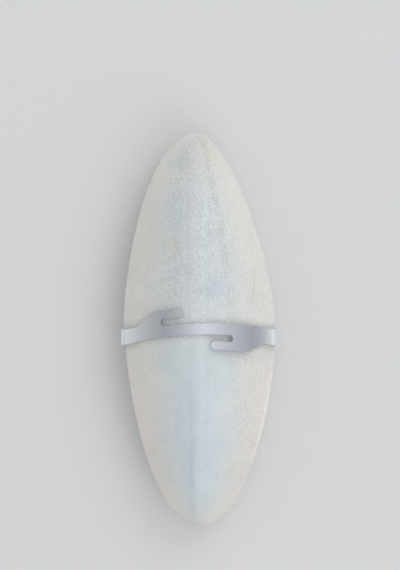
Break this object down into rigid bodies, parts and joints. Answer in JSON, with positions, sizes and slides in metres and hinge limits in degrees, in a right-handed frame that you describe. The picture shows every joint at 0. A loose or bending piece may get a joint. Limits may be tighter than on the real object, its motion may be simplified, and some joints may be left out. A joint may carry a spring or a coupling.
{
  "type": "cuttlebone",
  "caption": "Cuttlebone, the chalky shield-shaped shell of a cuttlefish, held across its middle by a bent steel clip with slotted fingers that grip the wires of a bird cage.",
  "frame": {"origin": "middle of the bounding box, on the surface that the bone lies on", "axes": "+Y towards the cuttlebone's growing (fore) end, +Z out of its hard back, +X to the right seen from above"},
  "size_m": [0.0582, 0.1454, 0.02],
  "materials": {
    "bone": "matte chalky aragonite, finely granular on the back",
    "clip": "satin bright sheet steel"
  },
  "bodies": {
    "root": {"cuttlebone": "bone", "clip": "clip"}
  },
  "joints": []
}
